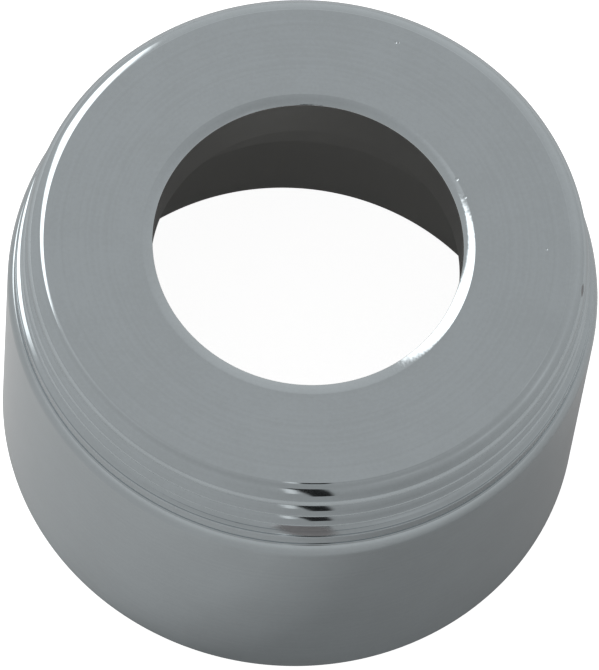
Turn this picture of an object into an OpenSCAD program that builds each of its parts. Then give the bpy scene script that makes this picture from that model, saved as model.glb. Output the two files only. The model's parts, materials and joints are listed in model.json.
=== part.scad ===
/* [Skirt] */
// Outer diameter of the plain skirt, the fitting's widest part
skirt_d = 48; // [46:0.5:60]
// Height of the skirt, from the foot to the edge below the steps
skirt_h = 24; // [22:0.5:36]
// Radius of the bulge that rolls the skirt's top edge inwards
crown_r = 2.7; // [2.4:0.1:5]
// Height of the bulge above the skirt's straight wall
crown_rise = 1.35; // [0.8:0.05:1.5]
// Rounding of the foot's outside edge
foot_round_r = 0.3; // [0.1:0.1:1]

/* [Steps] */
// Width of the narrow ledge between the skirt's bulge and the lower step
ledge_w = 0.14; // [0.06:0.02:0.6]
// Rise of the lower step above the skirt's edge
lower_step_h = 1.4; // [0.8:0.1:3]
// Width of the lower step's tread
lower_tread_w = 0.3; // [0.2:0.05:1]
// Rounding of the lower step's edge
lower_step_round_r = 0.1; // [0.05:0.05:0.15]
// Rise of the upper step above the lower one
upper_step_h = 1.5; // [0.8:0.1:3]
// Width of the upper step's tread
upper_tread_w = 0.9; // [0.5:0.05:2]
// Rounding of the upper step's edge
upper_step_round_r = 0.2; // [0.1:0.05:0.3]
// Radius left in the inside corners above the treads
corner_fillet_r = 0.15; // [0.05:0.05:0.3]

/* [Cap] */
// Height of the neck, from the upper step to the underside of the lip
neck_h = 2.8; // [1.5:0.1:8]
// How far the lip at the cap's edge stands out over the neck
lip_overhang = 0.28; // [0.1:0.02:0.8]
// Height of the lip, from its underside to the flat top face
lip_h = 1; // [0.6:0.05:1.4]
// Radius of the rounding between the top face and the lip
cap_round_r = 1.6; // [1.4:0.1:3]
// Thickness of the cap around the hole
cap_t = 5; // [3:0.1:6]

/* [Bores] */
// Diameter of the hole through the cap
hole_d = 25; // [16:0.5:27]
// Rounding of the hole's upper edge
hole_round_r = 0.85; // [0.2:0.05:1.5]
// Diameter of the seat bore under the cap
seat_d = 31; // [29:0.2:36]
// Thickness of the skirt's wall round the socket bore, which is open at the foot
socket_wall_t = 3.8; // [2:0.1:5]
// Depth of the socket, from the foot to the seat bore
socket_depth = 18; // [10:0.5:19]
// Chamfer at the lower mouths of the hole and bores
mouth_chamfer_w = 0.25; // [0.1:0.05:0.5]

/* [Hidden] */
// Segments to a full turn
$fn = 180;
// Overshoot that carries a cut past the face it opens
overshoot = 0.5;
// Heights above the foot of each level of the outside
crown_z = skirt_h - crown_rise;
lower_tread_z = skirt_h + lower_step_h;
upper_tread_z = lower_tread_z + upper_step_h;
lip_z = upper_tread_z + neck_h;
top_z = lip_z + lip_h;
// Underside of the cap, where the seat bore ends
cap_under_z = top_z - cap_t;
// Radii of the outside, each worked out from the one below it, and of the socket
skirt_r = skirt_d / 2;
crown_edge_r = skirt_r - crown_r + sqrt(crown_r ^ 2 - crown_rise ^ 2);
lower_r = crown_edge_r - ledge_w;
upper_r = lower_r - lower_tread_w;
neck_r = upper_r - upper_tread_w;
lip_r = neck_r + lip_overhang;
socket_r = skirt_r - socket_wall_t;
// Radius where the flat top face ends and its rounding starts
top_face_r = lip_r - sqrt(cap_round_r ^ 2 - (cap_round_r - lip_h) ^ 2);

// Half section of a plain disc, in the plane of radius and height
module band(radius, low_z, high_z) {
    translate([0, low_z]) square([radius, high_z - low_z]);
}

// Half section of a disc whose upper outside edge is rounded
module rounded_band(radius, low_z, high_z, round_r) {
    band(radius - round_r, low_z, high_z);
    band(radius, low_z, high_z - round_r);
    translate([radius - round_r, high_z - round_r]) circle(r = round_r);
}

// Fillet where a wall meets the tread below it, no wider than the tread's flat
module corner_fillet(wall_r, tread_z, flat_w) {
    fillet_r = min(corner_fillet_r, flat_w);
    translate([wall_r, tread_z]) difference() {
        square(fillet_r);
        translate([fillet_r, fillet_r]) circle(r = fillet_r);
    }
}

// Skirt: rounded foot, straight wall, and a crown cut off level at the top
module skirt_section() {
    band(skirt_r - foot_round_r, 0, crown_z);
    band(skirt_r, foot_round_r, crown_z);
    translate([skirt_r - foot_round_r, foot_round_r]) circle(r = foot_round_r);
    band(skirt_r - crown_r, 0, skirt_h);
    intersection() {
        translate([skirt_r - crown_r, crown_z]) circle(r = crown_r);
        band(skirt_r, crown_z, skirt_h);
    }
}

// Two shallow steps, and the neck that rises from the upper one
module steps_section() {
    rounded_band(lower_r, 0, lower_tread_z, lower_step_round_r);
    rounded_band(upper_r, 0, upper_tread_z, upper_step_round_r);
    band(neck_r, 0, lip_z);
    corner_fillet(upper_r, lower_tread_z, lower_tread_w - lower_step_round_r);
    corner_fillet(neck_r, upper_tread_z, upper_tread_w - upper_step_round_r);
}

// Cap: a disc with a well rounded edge, cut off level at the lip's underside
module cap_section() {
    intersection() {
        rounded_band(top_face_r + cap_round_r, 0, top_z, cap_round_r);
        band(lip_r, lip_z, top_z);
    }
}

// Cut for a bore, chamfered at its lower mouth
module bore_cut(radius, low_z, high_z) {
    band(radius, low_z - overshoot, high_z);
    mouth_w = mouth_chamfer_w + overshoot;
    translate([radius, low_z]) polygon([
        [-overshoot, -overshoot], [mouth_w, -overshoot], [-overshoot, mouth_w]
    ]);
}

// Cut for the hole through the cap, whose upper edge is rolled over
module hole_cut() {
    hole_r = hole_d / 2;
    bore_cut(hole_r, cap_under_z, top_z + overshoot);
    difference() {
        band(hole_r + hole_round_r, top_z - hole_round_r, top_z + overshoot);
        translate([hole_r + hole_round_r, top_z - hole_round_r]) circle(r = hole_round_r);
    }
}

// The whole fitting, turned from one piece
module nipple_body() {
    color([0.72, 0.74, 0.76]) rotate_extrude() difference() {
        union() {
            skirt_section();
            steps_section();
            cap_section();
        }
        hole_cut();
        bore_cut(seat_d / 2, socket_depth, cap_under_z);
        bore_cut(socket_r, 0, socket_depth);
    }
}

nipple_body();
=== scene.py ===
import json
import math

import bpy
from mathutils import Matrix, Vector


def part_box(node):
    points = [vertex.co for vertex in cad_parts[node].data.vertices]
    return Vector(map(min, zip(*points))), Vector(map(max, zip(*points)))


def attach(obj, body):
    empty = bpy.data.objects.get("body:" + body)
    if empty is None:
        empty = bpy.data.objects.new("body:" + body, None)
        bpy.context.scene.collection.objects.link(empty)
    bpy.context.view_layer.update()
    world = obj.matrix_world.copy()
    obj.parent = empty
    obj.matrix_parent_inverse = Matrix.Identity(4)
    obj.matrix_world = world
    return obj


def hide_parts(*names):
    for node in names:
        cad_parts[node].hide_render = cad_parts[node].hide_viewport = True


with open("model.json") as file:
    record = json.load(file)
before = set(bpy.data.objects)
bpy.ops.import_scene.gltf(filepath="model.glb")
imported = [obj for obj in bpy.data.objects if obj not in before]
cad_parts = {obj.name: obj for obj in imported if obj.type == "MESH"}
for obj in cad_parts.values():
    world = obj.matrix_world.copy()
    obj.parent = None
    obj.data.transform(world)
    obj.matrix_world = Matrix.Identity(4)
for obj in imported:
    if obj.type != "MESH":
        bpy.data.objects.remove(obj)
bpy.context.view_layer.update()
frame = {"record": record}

MM = 0.001
low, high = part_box("nipple_body")
mounts = {mount["name"]: mount for mount in frame["record"]["mounts"]}

# The ring's section in millimetres: outer sizes from the frame, bores from the record's mounts
SKIRT_R = (high.x - low.x) / 2 / MM
TOP_Z = high.z / MM
HOLE_R = mounts["cap_hole"]["dims"]["r_mm"]
SEAT_R = mounts["seat_bore"]["dims"]["r_mm"]
SOCKET_R = mounts["socket"]["dims"]["r_mm"]
CAP_UNDER_Z = TOP_Z - 5
SEAT_UNDER_Z = 18
MOUTH_CHAMFER_W = 0.25
FOOT_ROUND_R = 0.3
CROWN_R, CROWN_RISE, CROWN_TOP_Z = 2.7, 1.35, 24
CROWN_EDGE_R, LEDGE_TILT, LEDGE_W = 0.08, 77, 0.08
RISER_TOP_R, RISER_TOP_Z, RISER_ROUND_R, RISER_TILT = 23.46, 25.27, 0.12, 8
TREAD_END_R, TREAD_END_Z, TREAD_FLAT_W, TREAD_TILT = 23.26, 25.41, 0.27, 78
TREAD_EDGE_R, TREAD_EDGE_TILT = 0.3, 58
COVE_R, COVE_LOW_TILT, COVE_HIGH_TILT = 2.0, 73, 56
CREASE_DEPTH = 0.11
RIDGES = (
    # radius and height of the ridge's lower edge, radius of its rounded back; from the lower ridge up
    (23.03, 26.56, 1.30),
    (22.90, 28.10, 1.45),
)
RIDGE_LOW_TILT, RIDGE_HIGH_TILT, RIDGE_EDGE_R, UNDERCUT_TILT = 31, 66, 0.1, -40
NECK_R, LIP_R, LIP_H, LIP_UNDER_R, LIP_UNDER_TILT = 22.298, 22.578, 1.0, 1.0, 14
CAP_ROUND_R, SHOULDER_TILT, BEVEL_TILT, BEVEL_W = 1.6, 85, 62, 0.09
ROLL_R, ROLL_START, ROLL_END, ROLL_EDGE_R = 3.5, 7, 22, 0.06


def arc(centre_r, centre_z, radius, start, end, pieces, hollow=False):
    """Points and normals along an arc, between two angles from the radius axis; a hollow arc faces its centre."""
    facing = -1 if hollow else 1
    run = []
    for k in range(pieces + 1):
        angle = math.radians(start + (end - start) * k / pieces)
        side = Vector((math.cos(angle), math.sin(angle)))
        run.append((Vector((centre_r, centre_z)) + side * radius, side * facing))
    return run


def straight(start, end):
    """Points and normals along a straight stretch, which faces the right of its way."""
    way = (end - start).normalized()
    normal = Vector((way.y, -way.x))
    return [(start, normal), (end, normal)]


def corner(r, z):
    return [(Vector((r, z)), None)]


def tilted(tilt):
    """Normal of the section that rises by a tilt in degrees, outwards and up."""
    return Vector((math.cos(math.radians(tilt)), math.sin(math.radians(tilt))))


def arc_from(start, radius, start_tilt, end_tilt, pieces):
    """Arc that starts at a point, between two tilts of its normal."""
    centre = start - tilted(start_tilt) * radius
    return arc(centre.x, centre.y, radius, start_tilt, end_tilt, pieces)


def ridge_runs(edge_r, edge_z, back_r):
    """A ridge of the neck: its undercut lower edge, and the rounded back that rises inwards from it."""
    edge = Vector((edge_r, edge_z))
    centre = edge - tilted(RIDGE_LOW_TILT) * RIDGE_EDGE_R
    return [
        arc(centre.x, centre.y, RIDGE_EDGE_R, UNDERCUT_TILT, RIDGE_LOW_TILT, 8)
        + arc_from(edge, back_r, RIDGE_LOW_TILT, RIDGE_HIGH_TILT, 14)[1:],
    ]


def outside_runs():
    """The turned outside from the foot up: skirt, crown, step, tread, ridged neck, lip, cap edge and shoulder."""
    crown_tilt = math.degrees(math.asin(CROWN_RISE / CROWN_R))
    crown = arc(SKIRT_R - CROWN_R, CROWN_TOP_Z - CROWN_RISE, CROWN_R, 0, crown_tilt, 16)
    crown_edge = arc_from(crown[-1][0], CROWN_EDGE_R, crown_tilt, LEDGE_TILT, 6)
    ledge_end = crown_edge[-1][0] + tilted(LEDGE_TILT + 90) * LEDGE_W
    tread_end = Vector((TREAD_END_R, TREAD_END_Z))
    tread_slope = tilted(TREAD_TILT + 90) * TREAD_FLAT_W
    cove = arc_from(tread_end + tread_slope, -COVE_R, COVE_LOW_TILT, COVE_HIGH_TILT, 10)
    tread_edge = arc_from(tread_end, TREAD_EDGE_R, TREAD_TILT, TREAD_EDGE_TILT, 4)
    tread = tread_edge[::-1] + [(cove[0][0], tilted(TREAD_TILT))]
    lip_z = TOP_Z - LIP_H
    bevel_angle = math.radians(BEVEL_TILT)
    bevel = Vector((-math.sin(bevel_angle), math.cos(bevel_angle))) * BEVEL_W
    cap_z = TOP_Z - bevel.y - CAP_ROUND_R * tilted(SHOULDER_TILT).y
    lip_tilt = math.degrees(math.asin((lip_z - cap_z) / CAP_ROUND_R))
    cap = arc_from(Vector((LIP_R, lip_z)), CAP_ROUND_R, lip_tilt, SHOULDER_TILT, 44)
    under = tilted(lip_tilt) - tilted(LIP_UNDER_TILT)
    lip = arc_from(Vector((LIP_R, lip_z)) - under * LIP_UNDER_R, LIP_UNDER_R, LIP_UNDER_TILT, lip_tilt, 5)
    shoulder = cap[-1][0] + bevel
    return [
        arc(SKIRT_R - FOOT_ROUND_R, FOOT_ROUND_R, FOOT_ROUND_R, -90, 0, 6),
        crown + crown_edge[1:] + [(ledge_end, tilted(LEDGE_TILT))],
        arc(RISER_TOP_R - RISER_ROUND_R, RISER_TOP_Z - RISER_ROUND_R, RISER_ROUND_R, RISER_TILT, 70, 6),
        corner(tread[0][0].x, tread[0][0].y - CREASE_DEPTH),
        tread,
        cove,
        *[run for ridge in RIDGES for run in ridge_runs(*ridge)],
        corner(NECK_R, lip_z - (LIP_R - NECK_R)),
        lip + cap[1:],
        corner(shoulder.x, shoulder.y),
    ]


def inside_runs():
    """Rolled rim of the hole, the hole's wall, the seat bore and the socket, from the top face down."""
    start, end = math.radians(ROLL_START), math.radians(ROLL_END)
    edge_r = HOLE_R + ROLL_EDGE_R * (1 - math.sin(end))
    roll_r = edge_r + ROLL_R * math.sin(end)
    roll_z = TOP_Z - ROLL_R * math.cos(start)
    edge_z = roll_z + (ROLL_R - ROLL_EDGE_R) * math.cos(end)
    chamfer = MOUTH_CHAMFER_W
    return [
        arc(roll_r, roll_z, ROLL_R, 90 + ROLL_START, 90 + ROLL_END, 12),
        arc(HOLE_R + ROLL_EDGE_R, edge_z, ROLL_EDGE_R, 90 + ROLL_END, 180, 6),
        corner(HOLE_R, CAP_UNDER_Z + chamfer),
        corner(HOLE_R + chamfer, CAP_UNDER_Z),
        corner(SEAT_R, CAP_UNDER_Z),
        corner(SEAT_R, SEAT_UNDER_Z + chamfer),
        corner(SEAT_R + chamfer, SEAT_UNDER_Z),
        corner(SOCKET_R, SEAT_UNDER_Z),
        corner(SOCKET_R, chamfer),
        corner(SOCKET_R + chamfer, 0),
    ]


def chain(runs):
    """Joins runs into one closed loop, with a straight stretch in each gap between two of them."""
    pieces = []
    for run, following in zip(runs, runs[1:] + runs[:1]):
        pieces += [(run[k], run[k + 1]) for k in range(len(run) - 1)]
        if (run[-1][0] - following[0][0]).length > 1e-4:
            pieces.append(tuple(straight(run[-1][0], following[0][0])))
    return pieces


TURNS = 360


def make_ring():
    """The whole ring, turned from its section, each face shaded by the section's own normals."""
    pieces = chain(outside_runs() + inside_runs())
    count = len(pieces)
    sides = [Vector((math.cos(2 * math.pi * k / TURNS), math.sin(2 * math.pi * k / TURNS), 0)) for k in range(TURNS)]
    up = Vector((0, 0, 1))
    verts = [(side * start.x + up * start.y) * MM for side in sides for (start, _), _ in pieces]
    faces, normals = [], []
    for k in range(TURNS):
        near, far = k, (k + 1) % TURNS
        for i, ((_, first), (_, last)) in enumerate(pieces):
            j = (i + 1) % count
            faces.append((near * count + i, far * count + i, far * count + j, near * count + j))
            for side, normal in ((near, first), (far, first), (far, last), (near, last)):
                normals.append(sides[side] * normal.x + up * normal.y)
    mesh = bpy.data.meshes.new("turned_ring")
    mesh.from_pydata(verts, [], faces)
    mesh.shade_smooth()
    mesh.normals_split_custom_set(normals)
    ring = bpy.data.objects.new("turned_ring", mesh)
    bpy.context.scene.collection.objects.link(ring)
    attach(ring, "root")
    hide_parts("nipple_body")
    return ring


class Tree:
    """Adds shader nodes to a material's or the world's node tree, in plain function calls."""

    def __init__(self, owner):
        owner.use_nodes = True
        self.nodes, self.links = owner.node_tree.nodes, owner.node_tree.links
        self.nodes.clear()

    def add(self, kind, **settings):
        node = self.nodes.new(kind)
        for name, value in settings.items():
            setattr(node, name, value)
        return node

    def feed(self, socket, value):
        """Links a socket to another node's output, or sets its constant."""
        if isinstance(value, bpy.types.NodeSocket):
            self.links.new(value, socket)
        else:
            socket.default_value = value

    def math(self, operation, *values, clamp=False):
        node = self.add("ShaderNodeMath", operation=operation, use_clamp=clamp)
        for socket, value in zip(node.inputs, values):
            self.feed(socket, value)
        return node.outputs[0]

    def vector(self, operation, *values, output=0):
        node = self.add("ShaderNodeVectorMath", operation=operation)
        for socket, value in zip(node.inputs, values):
            self.feed(socket, value)
        return node.outputs[output]

    def dot(self, vector, axis):
        return self.vector("DOT_PRODUCT", vector, axis, output="Value")

    def step(self, value, start, end):
        """0 before start and 1 past end, with a smooth rise between them."""
        node = self.add("ShaderNodeMapRange", interpolation_type="SMOOTHSTEP")
        for name, given in (("Value", value), ("From Min", start), ("From Max", end)):
            self.feed(node.inputs[name], given)
        return node.outputs["Result"]

    def noise(self, place, scale, detail=2.0, rough=0.5):
        """Noise of about 0.5, over a 3-D place or along a single value."""
        node = self.add("ShaderNodeTexNoise")
        if place.type == "VALUE":
            node.noise_dimensions = "1D"
            self.feed(node.inputs["W"], place)
        else:
            self.feed(node.inputs["Vector"], place)
        for name, given in (("Scale", scale), ("Detail", detail), ("Roughness", rough)):
            self.feed(node.inputs[name], given)
        return node.outputs[0]

    def mix(self, share, first, second):
        """Blends two colours by a share."""
        node = self.add("ShaderNodeMix", data_type="RGBA")
        for socket, value in zip((node.inputs[0], node.inputs[6], node.inputs[7]), (share, first, second)):
            self.feed(socket, value)
        return node.outputs[2]

    def total(self, values):
        result = values[0]
        for value in values[1:]:
            result = self.math("ADD", result, value)
        return result

    def most(self, values):
        result = values[0]
        for value in values[1:]:
            result = self.math("MAXIMUM", result, value)
        return result


def towards(azimuth, elevation):
    """Unit vector to a place in the studio; azimuth is degrees from the camera's side, towards the image's right."""
    a, e = math.radians(azimuth), math.radians(elevation)
    return Vector((math.sin(a) * math.cos(e), -math.cos(a) * math.cos(e), math.sin(e)))


def lobe(tree, direction, azimuth, elevation, spread, strength):
    """A broad soft patch of light on the studio's walls; spread is in degrees."""
    near = tree.math("SUBTRACT", tree.dot(direction, towards(azimuth, elevation)), 1.0)
    fall = tree.math("EXPONENT", tree.math("MULTIPLY", near, 1 / math.radians(spread) ** 2))
    return tree.math("MULTIPLY", fall, strength)


def panel(tree, direction, azimuth, elevation, width, height, lean=0.0, soft=1.5):
    """Mask of a flat rectangular panel; its sizes, its lean and its soft edge are in degrees."""
    forward = towards(azimuth, elevation)
    right = Vector((0, 0, 1)).cross(-forward).normalized()
    right = Matrix.Rotation(math.radians(lean), 3, forward) @ right
    up = forward.cross(right) * -1
    depth = tree.dot(direction, forward)
    mask = tree.math("GREATER_THAN", depth, 0.0)
    for axis, size in ((right, width), (up, height)):
        across = tree.math("ABSOLUTE", tree.math("DIVIDE", tree.dot(direction, axis), depth))
        outer, inner = (math.tan(math.radians(size / 2 + s)) for s in (soft, -soft))
        mask = tree.math("MULTIPLY", mask, tree.step(across, outer, inner))
    return mask


WALL_LEVEL = 0.495
WALLS = (
    # azimuth, elevation, spread, strength
    (175, 15, 35, 0.22),
    (265, 0, 40, 0.08),
    (127, 80, 17, -0.11),
    (40, 25, 26, -0.12),
    (214, 67, 6, 0.14),
    (300, 45, 35, 0.035),
    (95, 45, 24, 0.05),
    (60, 68, 4, 0.08),
    (80, 55, 4, 0.10),
    (97, 43, 5, 0.12),
)
WINDOW_AZIMUTH, WINDOW_ELEVATION = 214, 44
SHADOW_TURN = 25
WINDOW_GLOW = 1.9
CARD_SHADE = 0.95
LAMP_GLOW = 0.55


def make_world():
    """The studio round the ring: pale grey walls, a tall window panel, and a dark and a light card at the camera."""
    world = bpy.data.worlds.new("studio")
    tree = Tree(world)
    direction = tree.add("ShaderNodeTexCoord").outputs["Generated"]
    walls = tree.math("ADD", tree.total([lobe(tree, direction, *wall) for wall in WALLS]), WALL_LEVEL)
    window = panel(tree, direction, WINDOW_AZIMUTH, WINDOW_ELEVATION, 20, 40, soft=2.0)
    walls = tree.math("ADD", walls, tree.math("MULTIPLY", window, WINDOW_GLOW))
    card = panel(tree, direction, 14.5, 54, 6.0, 42, soft=0.8)
    walls = tree.math("MULTIPLY", walls, tree.math("SUBTRACT", 1.0, tree.math("MULTIPLY", card, CARD_SHADE)))
    lamp = panel(tree, direction, 5, 57, 2.4, 24, soft=1.0)
    walls = tree.math("ADD", walls, tree.math("MULTIPLY", lamp, LAMP_GLOW))
    surroundings = tree.add("ShaderNodeBackground")
    tree.feed(surroundings.inputs["Color"], (1, 1, 1, 1))
    tree.feed(surroundings.inputs["Strength"], walls)
    white = tree.add("ShaderNodeBackground")
    tree.feed(white.inputs["Color"], (1, 1, 1, 1))
    path = tree.add("ShaderNodeLightPath")
    mix = tree.add("ShaderNodeMixShader")
    tree.feed(mix.inputs[0], tree.math("MAXIMUM", path.outputs["Is Camera Ray"], path.outputs["Is Transmission Ray"]))
    tree.feed(mix.inputs[1], surroundings.outputs[0])
    tree.feed(mix.inputs[2], white.outputs[0])
    tree.feed(tree.add("ShaderNodeOutputWorld").inputs[0], mix.outputs[0])
    bpy.context.scene.world = world


def make_window_light():
    """Softbox that casts the shadow of the window panel, which the walls already show in reflections."""
    light = bpy.data.lights.new("window", "AREA")
    light.shape = "RECTANGLE"
    light.size, light.size_y = 0.35, 0.70
    light.energy = 4.0
    lamp = bpy.data.objects.new("window", light)
    place = towards(WINDOW_AZIMUTH + SHADOW_TURN, WINDOW_ELEVATION)
    lamp.location = place
    lamp.rotation_euler = place.to_track_quat("Z", "Y").to_euler()
    lamp.visible_glossy = False
    bpy.context.scene.collection.objects.link(lamp)


FLOOR_HALF_W = 3.0
FLOOR_GAP = 1e-5
FLOOR_COLOR = (0.56, 0.56, 0.56, 1)
FLOOR_BACKDROP = 0.93
MIRRORED_NEAR, MIRRORED_FAR = 0.03, 0.16
GLOW_START_R, GLOW_END_R = 0.055, 0.120


def make_floor():
    """Plain pale floor that keeps the ring's shadow, and shows the camera a white ground."""
    mesh = bpy.data.meshes.new("floor")
    corners = [(x * FLOOR_HALF_W, y * FLOOR_HALF_W, -FLOOR_GAP) for x, y in ((-1, -1), (1, -1), (1, 1), (-1, 1))]
    mesh.from_pydata(corners, [], [(0, 1, 2, 3)])
    floor = bpy.data.objects.new("floor", mesh)
    bpy.context.scene.collection.objects.link(floor)
    material = bpy.data.materials.new("floor")
    tree = Tree(material)
    paper = tree.add("ShaderNodeBsdfDiffuse")
    tree.feed(paper.inputs["Color"], FLOOR_COLOR)
    path = tree.add("ShaderNodeLightPath")
    seen = tree.math("MAXIMUM", path.outputs["Is Camera Ray"], path.outputs["Is Transmission Ray"])
    place = tree.add("ShaderNodeTexCoord").outputs["Object"]
    far = tree.step(tree.vector("LENGTH", place, output="Value"), GLOW_START_R, GLOW_END_R)
    glow = tree.math("ADD", tree.math("MULTIPLY", far, MIRRORED_FAR - MIRRORED_NEAR), MIRRORED_NEAR)
    ground = tree.add("ShaderNodeEmission")
    tree.feed(ground.inputs["Strength"], tree.math(
        "ADD", tree.math("MULTIPLY", seen, FLOOR_BACKDROP),
        tree.math("MULTIPLY", path.outputs["Is Glossy Ray"], glow)))
    both = tree.add("ShaderNodeAddShader")
    tree.feed(both.inputs[0], paper.outputs[0])
    tree.feed(both.inputs[1], ground.outputs[0])
    from_above = tree.add("ShaderNodeMixShader")
    tree.feed(from_above.inputs[0], tree.add("ShaderNodeNewGeometry").outputs["Backfacing"])
    tree.feed(from_above.inputs[1], both.outputs[0])
    tree.feed(from_above.inputs[2], tree.add("ShaderNodeBsdfTransparent").outputs[0])
    tree.feed(tree.add("ShaderNodeOutputMaterial").inputs[0], from_above.outputs[0])
    mesh.materials.append(material)


CHROME = (0.500, 0.546, 0.568, 1)
CHROME_HAZE = (0.470, 0.512, 0.530, 1)
BARE_INSIDE = (0.53, 0.53, 0.515, 1)
STAIN = (0.20, 0.19, 0.19, 1)
# Colour of the painted reflection: the dark card's dim reflection low on the front, painted in as a brownish
# darkening
PAINTED_REFLECTION_BROWN = (0.22, 0.175, 0.17, 1)
MICRON = 1e-6
DARK_MARKS = (
    # place on the ring: degrees counted from the image's right, radius, height; half sizes; all in millimetres
    (74.5, 19.75, 30.7, 0.07, 0.10, 0.1),
    (357.6, 22.31, 30.14, 0.14, 0.75, 0.4),
    (262.5, 23.1, 26.4, 0.45, 0.12, 0.12),
    (224.5, 22.3, 28.1, 0.30, 0.30, 0.5),
)
# Painted reflection of the dark card: a dim brown patch low on the front, also made a little rougher; place and half
# sizes as for the marks above
PAINTED_REFLECTION_PATCHES = (
    (276.8, 22.95, 25.55, 3.3, 0.75, 0.45),
)
DENTS = (
    # place on the ring, as above, and radius
    (75.2, 19.65, 30.7, 0.13),
    (33.0, 13.40, 30.7, 0.16),
    (25.6, 13.38, 30.7, 0.15),
    (6.1, 19.15, 30.7, 0.12),
)


def on_ring(degrees, radius, height):
    angle = math.radians(degrees)
    return Vector((math.cos(angle) * radius, math.sin(angle) * radius, height)) * MM


def mark(tree, place, degrees, radius, height, half_x, half_y, half_z):
    """Soft mask of a mark on the ring."""
    away = tree.vector("SUBTRACT", place, on_ring(degrees, radius, height))
    scaled = tree.vector("DIVIDE", away, Vector((half_x, half_y, half_z)) * MM)
    return tree.step(tree.vector("LENGTH", scaled, output="Value"), 1.0, 0.5)


def inside_mask(tree, radius, height):
    """1 on the hole's wall, the seat bore and the socket, which weren't polished."""
    in_hole = tree.math("LESS_THAN", radius, (HOLE_R + 0.02) * MM)
    under_cap = tree.math("LESS_THAN", height, (CAP_UNDER_Z + MOUTH_CHAMFER_W + 0.02) * MM)
    in_socket = tree.math("LESS_THAN", radius, (SOCKET_R + MOUTH_CHAMFER_W + 0.02) * MM)
    return tree.math("MAXIMUM", in_hole, tree.math("MULTIPLY", under_cap, in_socket))


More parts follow.
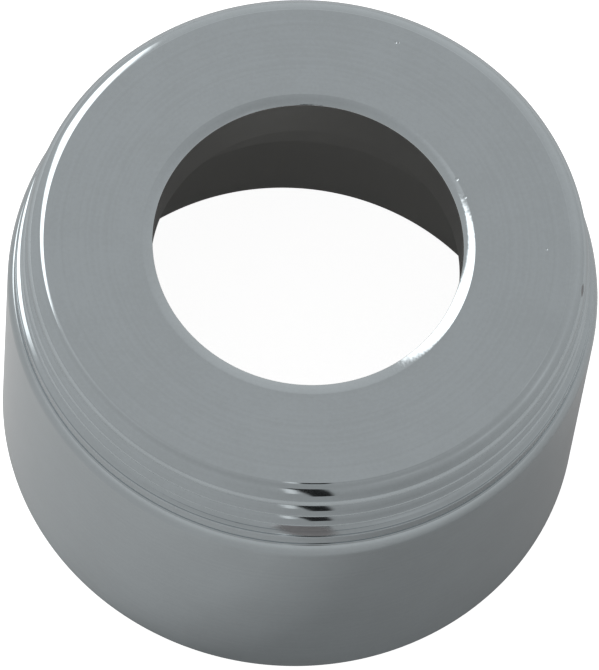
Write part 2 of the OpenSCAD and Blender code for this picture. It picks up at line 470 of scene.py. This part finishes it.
def make_chrome():
    """Bright plating over turned brass: faint lathe rings, a slight orange peel, pits and stains, a dull bore, and a
    dim brown patch low on the front that is a painted reflection of the dark card.
    """
    material = bpy.data.materials.new("chrome_plate")
    tree = Tree(material)
    place = tree.add("ShaderNodeTexCoord").outputs["Object"]
    parts = tree.add("ShaderNodeSeparateXYZ")
    tree.feed(parts.inputs[0], place)
    x, y, height = parts.outputs
    radius = tree.math("SQRT", tree.math("ADD", tree.math("MULTIPLY", x, x), tree.math("MULTIPLY", y, y)))
    inside = inside_mask(tree, radius, height)
    along_section = tree.math("SUBTRACT", radius, height)
    rings = tree.noise(along_section, 2600, detail=3, rough=0.6)
    cloud = tree.noise(place, 180, detail=3, rough=0.6)
    grit = tree.noise(place, 3200, detail=2)
    haze = tree.math("ADD", tree.math("MULTIPLY", rings, 0.5), tree.math("MULTIPLY", grit, 0.5))
    haze = tree.math("ADD", haze, tree.math("MULTIPLY", tree.math("SUBTRACT", cloud, 0.5), 0.8))
    stained = tree.most([mark(tree, place, *dark) for dark in DARK_MARKS])
    colour = tree.mix(tree.step(haze, 0.25, 0.75), CHROME, CHROME_HAZE)
    colour = tree.mix(inside, colour, BARE_INSIDE)
    colour = tree.mix(tree.math("MULTIPLY", stained, 0.75), colour, STAIN)
    # Painted reflection: the front patch is darkened towards brown where the dark card would show in the metal
    painted_reflection_mask = tree.total([mark(tree, place, *patch) for patch in PAINTED_REFLECTION_PATCHES])
    colour = tree.mix(tree.math("MULTIPLY", painted_reflection_mask, 0.55), colour, PAINTED_REFLECTION_BROWN)
    shine = tree.math("ADD", tree.math("MULTIPLY", cloud, 0.05), 0.035)
    shine = tree.math("ADD", shine, tree.math("MULTIPLY", tree.math("MAXIMUM", stained, painted_reflection_mask), 0.25))
    shine = tree.math("ADD", shine, tree.math("MULTIPLY", inside, 0.28))
    peel = tree.noise(place, 700, detail=1)
    near_rim = tree.math("MULTIPLY", tree.step(radius, (HOLE_R + 1.3) * MM, (HOLE_R + 0.8) * MM),
                         tree.math("SUBTRACT", 1.0, inside))
    beads = tree.math("MULTIPLY", tree.noise(place, 2100, detail=1), near_rim)
    dents = tree.most([mark(tree, place, d, r, z, size, size, size) for d, r, z, size in DENTS])
    relief = tree.total([
        tree.math("MULTIPLY", rings, 0.5 * MICRON),
        tree.math("MULTIPLY", peel, 3.5 * MICRON),
        tree.math("MULTIPLY", beads, 5 * MICRON),
        tree.math("MULTIPLY", tree.math("MULTIPLY", rings, inside), 6 * MICRON),
        tree.math("MULTIPLY", dents, -16 * MICRON),
        tree.math("MULTIPLY", stained, -6 * MICRON),
    ])
    bump = tree.add("ShaderNodeBump")
    tree.feed(bump.inputs["Distance"], 1.0)
    tree.feed(bump.inputs["Height"], relief)
    shader = tree.add("ShaderNodeBsdfPrincipled")
    tree.feed(shader.inputs["Metallic"], 1.0)
    tree.feed(shader.inputs["Base Color"], colour)
    tree.feed(shader.inputs["Roughness"], shine)
    tree.feed(shader.inputs["Normal"], bump.outputs[0])
    tree.feed(tree.add("ShaderNodeOutputMaterial").inputs[0], shader.outputs[0])
    return material


CAMERA_ELEVATION = 64.858
CAMERA_DISTANCE = 25.087 * SKIRT_R * MM
CAMERA_ROLL = -7.103
FOCAL_PX = 7161.831
AIM_X_PX, AIM_Y_PX = -11.183, -68.904
IMAGE_H_PX = 670
SENSOR_MM = 36


def make_camera():
    """Camera at the photograph's angle: looking at the foot's centre, rolled, then turned until the ring fills it."""
    data = bpy.data.cameras.new("camera")
    data.sensor_width = SENSOR_MM
    data.lens = FOCAL_PX * SENSOR_MM / IMAGE_H_PX
    data.clip_start, data.clip_end = 0.01, 20
    camera = bpy.data.objects.new("camera", data)
    place = towards(0, CAMERA_ELEVATION) * CAMERA_DISTANCE
    aim = Matrix((Vector((1, 0, 0)), place.normalized().cross(Vector((1, 0, 0))), -place.normalized()))
    turn_x = Matrix.Rotation(-math.atan2(AIM_Y_PX, FOCAL_PX), 3, "X")
    turn_y = Matrix.Rotation(math.atan2(AIM_X_PX, FOCAL_PX), 3, "Y")
    roll = Matrix.Rotation(math.radians(CAMERA_ROLL), 3, "Z")
    right, up, forward = turn_x @ turn_y @ roll @ aim
    camera.matrix_world = Matrix((right, up, -forward)).transposed().to_4x4()
    camera.location = place
    bpy.context.scene.collection.objects.link(camera)
    bpy.context.scene.camera = camera


bpy.context.scene.view_settings.view_transform = "Standard"
make_camera()
make_world()
make_window_light()
make_floor()
make_ring().data.materials.append(make_chrome())
